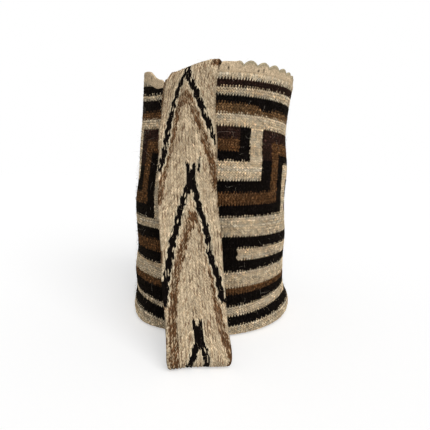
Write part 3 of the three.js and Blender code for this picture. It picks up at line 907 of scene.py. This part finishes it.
# %% The shell edging
SHELLS = 36
EDGING_BAND = 3.2
SHELL_RISE = 4.6
SHELL_LEAN = 1.2
SHELL_ROUNDNESS = 0.7
SMOOTH_SHARE = 0.6
SMOOTH_ZONE = (-76, -66, 24, 29)
PRESSED_ZONE = (-29, -26, 13, 16)
COLUMNS_PER_SHELL = 24
EDGING_COLUMNS = SHELLS * COLUMNS_PER_SHELL
EDGING_ROWS = 28
SECTION_POWERS = (0.5, 0.8)
FOOT_WIDE_BELOW = (0, 0.5)
POSTS = 5
POSTS_RAISED = 0.01
POST_OUT = 0.1
ARCH_WIDTH = 2.4
ARCH_FADE = 0.6
ARCH_OUT = 0.5
CHAIN_PITCH = 2.4
CHAIN_SLANT = 2
CHAIN_OUT = 0.15
CALMED = 0.6
EDGING_DEPTHS = (0.75, 1)
EDGING_LIFT = [
    (-90, 0), (-75, -2.2), (-62, -1.7), (-55, -1.6), (-49, 1.9), (-45.5, 4.1), (-43, 5.2), (-40, 4.9),
    (-37, 3.5), (-34, 2.4), (-31, 1.1), (-26, 0), (12, 0), (17, 2), (50, 2), (75, 0.7), (110, 0),
]
EYELETS = [(19.5, 3.4), (40.2, 3.2), (44.2, 3.4), (-42, 4.5)]
EYELET_RADIUS = 0.8
EYELET_DEPTH = 1.3
ARCH_YARN = linear("#A2957A")
FAN_YARN = linear("#C5AF90")
ARCH_PAINTED = (0.55, 0.8)
EYELET_PAINTED_SHADE = 0.9
SHADE_PATCH = 3
PATCH_SHADE = 0.06
FACE_SHADE = 0.1
RING_RADIUS = MOUTH_RADIUS - WALL / 2
EDGING_OVERLAP = 0.3
EDGING_FOOT = MOUTH_HEIGHT - EDGING_OVERLAP
shell_pitch = 2 * math.pi * RING_RADIUS / SHELLS


def eyelets_at(degrees, up):
    """0 away from the eyelets, 1 in the middle of one."""
    aways = [np.hypot(np.radians(degrees - at) * RING_RADIUS, up - height) for at, height in EYELETS]
    return np.minimum(sum(bell(away, EYELET_RADIUS) for away in aways), 1)


def signed_power(x, power):
    """x to a power, with the sign of x."""
    return np.sign(x) * np.abs(x) ** power


def edging_place(column, row):
    """A point of the edging's surface, and its height in the relief; the rows go once round its section."""
    angle = 2 * np.pi * column / EDGING_COLUMNS
    degrees = to_degrees(angle)
    section = 2 * np.pi * row / EDGING_ROWS
    side = signed_power(np.cos(section), SECTION_POWERS[0])
    share = 0.5 + 0.5 * signed_power(np.sin(section), SECTION_POWERS[1])
    pressed = within(degrees, PRESSED_ZONE)
    calm = within(degrees, SMOOTH_ZONE)
    through_shell = (SHELLS * angle / (2 * np.pi)) % 1
    scallop = np.abs(np.sin(np.pi * through_shell)) ** SHELL_ROUNDNESS
    rise = (scallop * (1 - calm) + SMOOTH_SHARE * calm) * (1 - pressed)
    band = EDGING_BAND + (EDGING_PRESSED_BAND - EDGING_BAND) * pressed
    top = MOUTH_HEIGHT + WALL / 2 + TOUCH + band + SHELL_RISE * rise + through(EDGING_LIFT, degrees)
    up = share * (top - EDGING_FOOT)
    from_edge = top - EDGING_FOOT - up
    beside = (through_shell - 0.5) * shell_pitch
    post = np.cos(2 * POSTS * np.arctan2(up + POSTS_RAISED, beside))
    arch = 1 - smooth(from_edge, ARCH_WIDTH * ARCH_FADE, ARCH_WIDTH)
    along_arch = 2 * np.pi * np.hypot(beside, up) * np.sign(beside) / CHAIN_PITCH
    chain = np.cos(along_arch + CHAIN_SLANT * from_edge)
    relief = POST_OUT * post * (1 - arch) + (ARCH_OUT + CHAIN_OUT * chain) * arch
    relief = relief * (1 - CALMED * calm) * (1 - pressed)
    relief = relief - EYELET_DEPTH * eyelets_at(degrees, up)
    foot = (WALL - EDGING_THICKNESS) / 2 * (1 - smooth(share, *FOOT_WIDE_BELOW))
    radius = RING_RADIUS + side * (EDGING_THICKNESS / 2 + foot + relief) + SHELL_LEAN * rise * share
    ring_x, ring_y = round_bag(RING_RADIUS, angle)
    moved_x, moved_y, moved_z = slump(ring_x, ring_y, MOUTH_HEIGHT)
    x, y = round_bag(radius, angle)
    z = EDGING_FOOT + up + moved_z - MOUTH_HEIGHT
    return x + moved_x - ring_x, y + moved_y - ring_y, z, height_in(relief, EDGING_DEPTHS)


def edging_paint(column, row):
    """Fan yarn, greyer towards the arches, with painted shade in the eyelets."""
    degrees = to_degrees(2 * np.pi * column / EDGING_COLUMNS)
    share = 0.5 + 0.5 * np.sin(2 * np.pi * (row + 0.5) / EDGING_ROWS)
    arch = smooth(share, *ARCH_PAINTED) * (1 - within(degrees, SMOOTH_ZONE))
    colour = FAN_YARN + (ARCH_YARN - FAN_YARN) * arch[:, None]
    # Painted shade: the eyelets are shallow dimples, painted dark as holes in shadow.
    hole_shade = 1 - EYELET_PAINTED_SHADE * eyelets_at(degrees, share * (EDGING_BAND + SHELL_RISE))
    patch = edging_shade[column // SHADE_PATCH, row // SHADE_PATCH]
    return colour * (hole_shade * patch * shades(FACE_SHADE, row.shape))[:, None]


edging_shade = shades(PATCH_SHADE, (EDGING_COLUMNS // SHADE_PATCH, EDGING_ROWS // SHADE_PATCH + 1))
edging = stitched("shell_edging", EDGING_COLUMNS, EDGING_ROWS, edging_place, edging_paint)

# %% [markdown]
# Each sewn end of the strap is held by whip stitches: the yarn comes out of the wall, goes up over the
# strap's end, and back down. A curve follows the stitches, and its round bevel becomes a mesh.

# %% The sewn ends
SEAM_YARN_RADIUS = 0.8
SEAM_ROUNDNESS = 2
SEAM_STITCHES = 7
SEAM_BITE = 3.5
HALF_STITCH = [
    (0, 0, 0), (0.13, 0.06, 0), (0.22, 0.2, 0), (0.25, 0.45, 0), (0.25, 0.75, 0.03), (0.25, 0.95, 0.14),
    (0.25, 1, 0.4), (0.25, 1, 0.68), (0.3, 1, 0.86), (0.39, 1, 0.97), (0.5, 1, 1),
]


def tubes(name, runs, radius, roundness=0, tip=1):
    """One piece of round strands, each along its own run of points in mm and narrowing to its tip."""
    data = bpy.data.curves.new(name, "CURVE")
    data.dimensions = "3D"
    data.bevel_depth = radius * MM
    data.bevel_resolution = roundness
    data.use_fill_caps = True
    for run in runs:
        spline = data.splines.new("POLY")
        spline.points.add(len(run) - 1)
        spline.points.foreach_set("co", np.hstack([np.array(run) * MM, np.ones((len(run), 1))]).ravel())
        spline.points.foreach_set("radius", np.linspace(1, tip, len(run)))
    drawn = show(name + "_line", data)
    bpy.context.view_layer.update()
    mesh = bpy.data.meshes.new_from_object(drawn.evaluated_get(bpy.context.evaluated_depsgraph_get()))
    mesh.name = name
    bpy.data.objects.remove(drawn)
    return add_piece(name, mesh)


def whip_stitches(side):
    """The path of the sewing yarn at one end of the strap; side is -1 at the front and 1 at the back."""
    strap_face = STRAP_INSIDE - STRAP_THICKNESS / 2 - TOUCH - SEAM_YARN_RADIUS
    wall_face = NECK_RADIUS - WALL - STRAP_CLEAR - SEAM_YARN_RADIUS
    lowest = STRAP_END_HEIGHT - TOUCH - 3 * SEAM_YARN_RADIUS
    highest = STRAP_END_HEIGHT + SEAM_BITE
    span = STRAP_WIDTH - 4 * SEAM_YARN_RADIUS
    sway = through(SWAY, STRAP_END_HEIGHT) * (1 - smooth(side * STRAP_INSIDE, *SWAY_FADES_AT))
    whole = HALF_STITCH + [(1 - along, face, up) for along, face, up in HALF_STITCH[-2:0:-1]]
    facts = np.array([(i + along, face, up) for i in range(SEAM_STITCHES) for along, face, up in whole])
    x = sway - span / 2 + span / SEAM_STITCHES * facts[:, 0]
    radius = wall_face + (strap_face - wall_face) * facts[:, 1]
    z = lowest + (highest - lowest) * facts[:, 2]
    points = np.stack(slump(x, side * np.sqrt(radius**2 - x**2), z), 1)
    return spline_points(points, steps=3)


seam_front = tubes("seam_front", [whip_stitches(-1)], SEAM_YARN_RADIUS, SEAM_ROUNDNESS)
seam_back = tubes("seam_back", [whip_stitches(1)], SEAM_YARN_RADIUS, SEAM_ROUNDNESS)

# %% [markdown]
# Hand-spun wool is hairy. Thousands of fine fibres stand off the stitches and soften every edge, and a
# few long pale guard hairs lie across the dark fields. Each is a thin tapered strand that starts inside
# a stitch, drawn about three times as thick as real wool, which would not show at this distance.

# %% Loose fibres
FIBRE_RADIUS = 0.06
FIBRE_TIP = 0.3
FIBRES_ON_WALL = 5200
FIBRES_ON_STRAP = 1700
GUARD_HAIRS = 420
GUARD_HAIR_STRETCH = 2.8
GUARD_HAIR_RADIUS = 0.08
ROOT_DEPTH = 0.6
TIP_OUT = 2
SMALL_TURN = 0.01
FIBRE_STEPS = (0, 0.33, 0.66, 1)
FIBRE_BEND = 2.2
FIBRE_CURL = 0.35
WALL_FIBRE_LENGTH = (5, 0.8)
WALL_FIBRE_LIFT = (0.8, 2.2)
WALL_ENDS_BARE = (3, 2)
STRAP_FIBRE_LENGTH = (5, 0.7)
STRAP_FIBRE_LIFT = (0.5, 1.6)
STRAP_FIBRE_TURN = 0.8
STRAP_ENDS_BARE = 5
FRONT_SHARE = 0.7
CLEAR_OF_FLOOR = 0.3
FUZZ_YARNS = {"fuzz_cream": (CREAM,), "fuzz_brown": (BROWN, WALNUT), "fuzz_black": (BLACK, ESPRESSO)}


def unit(v):
    """The same directions, each one long."""
    return v / np.linalg.norm(v, axis=1, keepdims=True)


def grow(place, root, above, beside, turn, length, lift):
    """Four points for each fibre. It starts at place(*root), rises towards place(*above), and runs
    sideways, turned from the direction of place(*beside), while it curls."""
    root, above, beside = (np.stack(place(*at), 1) for at in (root, above, beside))
    turn, length, lift = (facts[:, None] for facts in (turn, length, lift))
    outwards, sideways = unit(above - root), unit(beside - root)
    along = sideways * np.cos(turn) + np.cross(sideways, outwards) * np.sin(turn)
    curl = chance.normal(0, FIBRE_CURL, (len(root), 3))
    runs = []
    for t in FIBRE_STEPS:
        rise = outwards * lift * math.sin(t * FIBRE_BEND)
        runs.append(root + rise + (along + curl * t) * length * t)
    return np.stack(runs, 1)


def off_floor(runs):
    """Which fibres stay clear of the floor all along."""
    return runs[:, :, 2].min(1) > CLEAR_OF_FLOOR


def wall_fibres(count, stretch=1):
    """Fibres on the wall, and the yarn of the stitch each one stands on."""
    angle = chance.uniform(0, 2 * np.pi, count)
    s = chance.uniform(WALL_ENDS_BARE[0], wall_line.length - WALL_ENDS_BARE[1], count)
    turn = chance.uniform(0, 2 * np.pi, count)
    length = stretch * chance.gamma(*WALL_FIBRE_LENGTH, count)
    lift = chance.uniform(*WALL_FIBRE_LIFT, count)
    root, above, beside = (angle, s, -ROOT_DEPTH), (angle, s, TIP_OUT), (angle + SMALL_TURN, s, -ROOT_DEPTH)
    runs = grow(wall_place, root, above, beside, turn, length, lift)
    rounds = np.clip(((s - drift(angle, s)) / ROUND_HEIGHT).astype(int), 0, ROUNDS - 1)
    yarn = chart[rounds, (angle / (2 * np.pi) * STITCHES).astype(int) % STITCHES]
    clear = off_floor(runs)
    return runs[clear], yarn[clear]


def strap_fibres(count):
    """Fibres on both faces of the strap, most of them on the face that is seen."""
    s = chance.uniform(STRAP_ENDS_BARE, strap_line.length - STRAP_ENDS_BARE, count)
    across = chance.uniform(-0.5, 0.5, count) * STRAP_WIDTH
    side = np.where(chance.uniform(0, 1, count) < FRONT_SHARE, -1, 1)
    turn = -chance.normal(0, STRAP_FIBRE_TURN, count)
    length = chance.gamma(*STRAP_FIBRE_LENGTH, count)
    lift = chance.uniform(*STRAP_FIBRE_LIFT, count)
    deep, high = (side * (STRAP_THICKNESS / 2 + out) for out in (-ROOT_DEPTH, TIP_OUT))
    root, above, beside = (s, across, deep), (s, across, high), (s + 1, across, deep)
    runs = grow(strap_place, root, above, beside, turn, length, lift)
    return runs[off_floor(runs)]


def guard_hairs(count):
    """Longer pale hairs, kept only where they lie over a dark yarn."""
    runs, yarn = wall_fibres(count, GUARD_HAIR_STRETCH)
    return runs[np.isin(yarn, FUZZ_YARNS["fuzz_black"])]


wall_runs, wall_yarns = wall_fibres(FIBRES_ON_WALL)
fuzz_runs = {name: wall_runs[np.isin(wall_yarns, yarns)] for name, yarns in FUZZ_YARNS.items()}
fuzz_runs["fuzz_cream"] = np.vstack([fuzz_runs["fuzz_cream"], strap_fibres(FIBRES_ON_STRAP)])
fuzz = [tubes(name, runs, FIBRE_RADIUS, tip=FIBRE_TIP) for name, runs in fuzz_runs.items()]
fuzz.append(tubes("fuzz_guard", guard_hairs(GUARD_HAIRS), GUARD_HAIR_RADIUS, tip=FIBRE_TIP))
fuzz_cream, fuzz_brown, fuzz_black, fuzz_guard = fuzz

# %% [markdown]
# All the wool shares one recipe. The colour comes from the stitch, with painted shade in the grooves and a
# little painted light on the crests, and made to wander at a small scale and in patches a few centimetres
# wide. A fine bump stands for the spun fibres, and a faint warm sheen gives the soft rim that wool has
# against the light. The small scale is about a millimetre, coarser than real fibres, so that it shows, and
# the grooves of the crochet get painted shade darker than the relief of the mesh casts, because the real
# ones are deeper.

# %% The wool recipe
GRAIN_DETAIL = 3.0
GRAIN = (0.52, 1.48)
PATCH_MM = 28
PATCH_DETAIL = 2.0
PATCHES = (0.92, 1.08)
NOISE_RANGE = (0.3, 0.7)
CREST_PAINTED_LIGHT = 1.05
BUMP_MM = 0.3
BUMP_STRENGTH = 0.6
FINISH = {
    "Roughness": 0.95, "Specular IOR Level": 0.02, "Sheen Weight": 0.05, "Sheen Roughness": 0.6,
    "Sheen Tint": (*linear("#C8B08E"), 1),
}


def plug(material, node, inputs):
    """Links each input to the socket given for it, or sets it to the value given for it."""
    for name, value in inputs.items():
        if isinstance(value, bpy.types.NodeSocket):
            material.node_tree.links.new(value, node.inputs[name])
        else:
            node.inputs[name].default_value = value


def add_node(material, kind, inputs=None, **settings):
    """Adds a node, with its plain settings and its inputs."""
    node = material.node_tree.nodes.new(kind)
    for name, value in settings.items():
        setattr(node, name, value)
    plug(material, node, inputs or {})
    return node


def new_material(name):
    """A material, and the shader that it starts with."""
    material = bpy.data.materials.new(name)
    material.use_nodes = True
    return material, next(n for n in material.node_tree.nodes if n.type == "BSDF_PRINCIPLED")


def noise(material, place, size_mm, detail):
    """A noise whose features are about size_mm across."""
    inputs = {"Vector": place, "Scale": 1 / (size_mm * MM), "Detail": detail}
    return add_node(material, "ShaderNodeTexNoise", inputs).outputs["Fac"]


def spread(material, value, low, high, start=0.0, end=1.0):
    """Maps a value that runs from start to end onto low to high."""
    inputs = {"Value": value, "From Min": start, "From Max": end, "To Min": low, "To Max": high}
    return add_node(material, "ShaderNodeMapRange", inputs).outputs["Result"]


def product(material, a, b):
    """Multiplies two values."""
    return add_node(material, "ShaderNodeMath", {0: a, 1: b}, operation="MULTIPLY").outputs["Value"]


def wool(name, painted=None, groove_painted_shade=0.5, grain_mm=0.8):
    """Wool that takes its colour from the piece's yarn attribute, or is one painted colour."""
    material, shader = new_material(name)
    place = add_node(material, "ShaderNodeTexCoord").outputs["Object"]
    grain = noise(material, place, grain_mm, GRAIN_DETAIL)
    patches = noise(material, place, PATCH_MM, PATCH_DETAIL)
    speckle = spread(material, grain, *GRAIN, *NOISE_RANGE)
    amount = product(material, speckle, spread(material, patches, *PATCHES, *NOISE_RANGE))
    if painted is None:
        yarn = add_node(material, "ShaderNodeAttribute", attribute_name="yarn").outputs["Color"]
        height = add_node(material, "ShaderNodeAttribute", attribute_name="height").outputs["Fac"]
        # Painted shade and light: faces low in the relief are painted darker, as grooves in shade, and
        # crests a little lighter.
        amount = product(material, amount, spread(material, height, groove_painted_shade, CREST_PAINTED_LIGHT))
    else:
        yarn = add_node(material, "ShaderNodeRGB").outputs["Color"]
        yarn.default_value = (*linear(painted), 1)
    colour = add_node(material, "ShaderNodeVectorMath", {0: yarn, "Scale": amount}, operation="SCALE")
    relief = {"Height": grain, "Distance": BUMP_MM * MM, "Strength": BUMP_STRENGTH}
    bump = add_node(material, "ShaderNodeBump", relief)
    drawn = {"Base Color": colour.outputs["Vector"], "Normal": bump.outputs["Normal"]}
    plug(material, shader, drawn | FINISH)
    return material


print("wool finish", FINISH)

# %% [markdown]
# Every wool on the bag is matt and warm. They differ in how tightly the yarn is worked, which shows in
# how much painted shade the grooves get and how coarse the grain is.

# %% Wools
# Crochet: tight V stitches with deep grooves in strong painted shade, so the rounds show as fine dark
# lines.
crochet_wool = wool("crocheted hand-spun wool", groove_painted_shade=0.12, grain_mm=1.1)
# Weaving: thick soft cords with shallow grooves in light painted shade, so the strap looks paler and
# smoother than the wall.
woven_wool = wool("woven strap wool", groove_painted_shade=0.55)
# Edging: loose fans of the same cream wool, with a soft painted shade between the posts.
edging_wool = wool("shell edging wool")
# Sewing yarn: one plain twisted cream strand, a little darker than the strap it holds.
seam_wool = wool("sewing yarn", painted="#BBA783")
FINISHES = {
    crochet_wool: (*wall_rings, base),
    woven_wool: (strap,),
    edging_wool: (edging,),
    seam_wool: (seam_front, seam_back),
    # Loose fibres: a faint haze in the colour of the yarn they stand on, which softens every edge.
    wool("loose cream fibres", painted="#C6B493"): (fuzz_cream,),
    wool("loose brown fibres", painted="#604731"): (fuzz_brown,),
    wool("loose dark fibres", painted="#2C2420"): (fuzz_black,),
    # Guard hairs: thin pale curved lines, which catch the light over the dark fields.
    wool("pale guard hairs", painted="#A59C8E"): (fuzz_guard,),
}
for finish, pieces in FINISHES.items():
    for piece in pieces:
        piece.data.materials.append(finish)
print("wools", [finish.name for finish in FINISHES])

# %% [markdown]
# Every piece rides on the one body the bag has. All but the loose fibres stand for a solid of the CAD
# model, and that solid is hidden.

# %% Pieces and the frame
STANDS_FOR = {
    "bag_body": ("body_wool", (*wall_rings, base)),
    "rim_edging": ("edging_wool", (edging,)),
    "strap": ("strap_wool", (strap,)),
    "strap_seam_front": ("seam_yarn", (seam_front,)),
    "strap_seam_back": ("seam_yarn", (seam_back,)),
}
for node, (slot, made) in STANDS_FOR.items():
    for piece in made:
        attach(piece, "root")
        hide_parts(node)
for piece in fuzz:
    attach(piece, "root")
print("pieces", [piece.name for _, made in STANDS_FOR.values() for piece in made])

# %% [markdown]
# The bag stands on a white floor in a bright room. One wide soft light comes from the front, the right
# and above, and the room gives the rest. Floor and room look plain white to the camera, and the floor
# still takes the soft shadow of the bag.

# %% Light, floor and background
FLOOR_WIDTH = 8.0
ROOM_LIGHT = 0.37
KEY_LIGHT = 2.45
KEY_SOFTNESS = math.radians(60)
KEY_FROM = Vector((0.72, -1.0, 1.05))
FLOOR_GLOW = 0.36
FLOOR_PAINT = 0.74
WHITE = (1, 1, 1, 1)

key_data = bpy.data.lights.new("key", "SUN")
key_data.energy = KEY_LIGHT
key_data.angle = KEY_SOFTNESS
key = show("key", key_data)
key.matrix_world = KEY_FROM.to_track_quat("Z", "Y").to_matrix().to_4x4()

floor_mesh = bpy.data.meshes.new("floor")
floor_grid = bmesh.new()
bmesh.ops.create_grid(floor_grid, x_segments=1, y_segments=1, size=FLOOR_WIDTH / 2)
floor_grid.to_mesh(floor_mesh)
floor_grid.free()
floor = show("floor", floor_mesh)
floor_paint, floor_shader = new_material("white floor")
seen = add_node(floor_paint, "ShaderNodeLightPath").outputs["Is Camera Ray"]
plug(floor_paint, floor_shader, {
    "Base Color": (FLOOR_PAINT, FLOOR_PAINT, FLOOR_PAINT, 1), "Roughness": 1, "Specular IOR Level": 0,
    "Emission Color": WHITE, "Emission Strength": product(floor_paint, seen, FLOOR_GLOW),
})
floor_mesh.materials.append(floor_paint)

world = bpy.data.worlds.new("studio")
bpy.context.scene.world = world
world.use_nodes = True
backdrop = next(n for n in world.node_tree.nodes if n.type == "BACKGROUND")
seen = add_node(world, "ShaderNodeLightPath").outputs["Is Camera Ray"]
plug(world, backdrop, {"Color": WHITE, "Strength": spread(world, seen, ROOM_LIGHT, 1.0)})
bpy.context.scene.view_settings.view_transform = "Standard"
print("light from", tuple(KEY_FROM), "strength", KEY_LIGHT, "and the room", ROOM_LIGHT)
